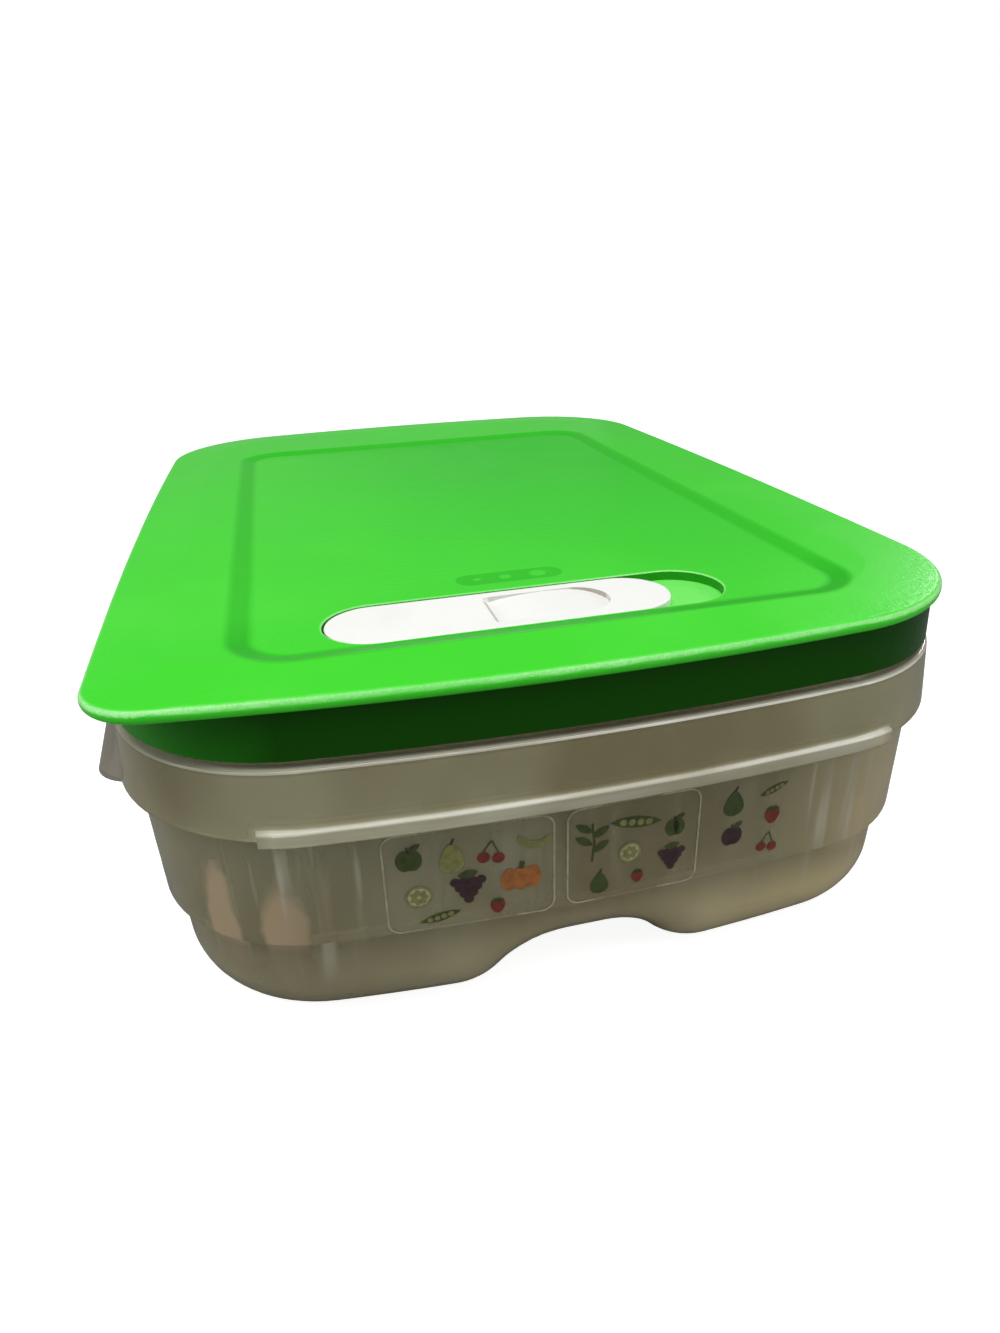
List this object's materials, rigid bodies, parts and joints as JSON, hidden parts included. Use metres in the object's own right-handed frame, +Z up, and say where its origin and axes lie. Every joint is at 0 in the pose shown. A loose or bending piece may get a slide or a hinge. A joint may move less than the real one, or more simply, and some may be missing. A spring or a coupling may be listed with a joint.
{
  "type": "produce storage container",
  "caption": "Low rectangular produce keeper: translucent tub on two feet, lift-off flexible lid with a corner pull tab, and a sliding vent in the lid.",
  "frame": {"origin": "centre of the rectangle that bounds the container from above, on the surface it stands on", "axes": "+Z up, +Y along the container away from the vented end, +X to the right seen from the vented end, where the pull tab is at the left corner"},
  "size_m": [0.1834, 0.253, 0.0775],
  "materials": {
    "tub_plastic": "satin, slightly translucent olive grey",
    "lid_plastic": "soft matte green with polished bands",
    "slider_plastic": "satin white"
  },
  "bodies": {
    "base": {"container_base": "tub_plastic"},
    "lid": {"lid": "lid_plastic"},
    "vent": {"vent_slider": "slider_plastic", "slider_keeper": "slider_plastic"}
  },
  "joints": [
    {"name": "lid_lift", "type": "slide", "parent": "base", "child": "lid", "axis": [0, 0, 1], "range_m": [0, 0.1]},
    {"name": "vent_slide", "type": "slide", "parent": "lid", "child": "vent", "axis": [1, 0, 0], "range_m": [0, 0.011]}
  ]
}
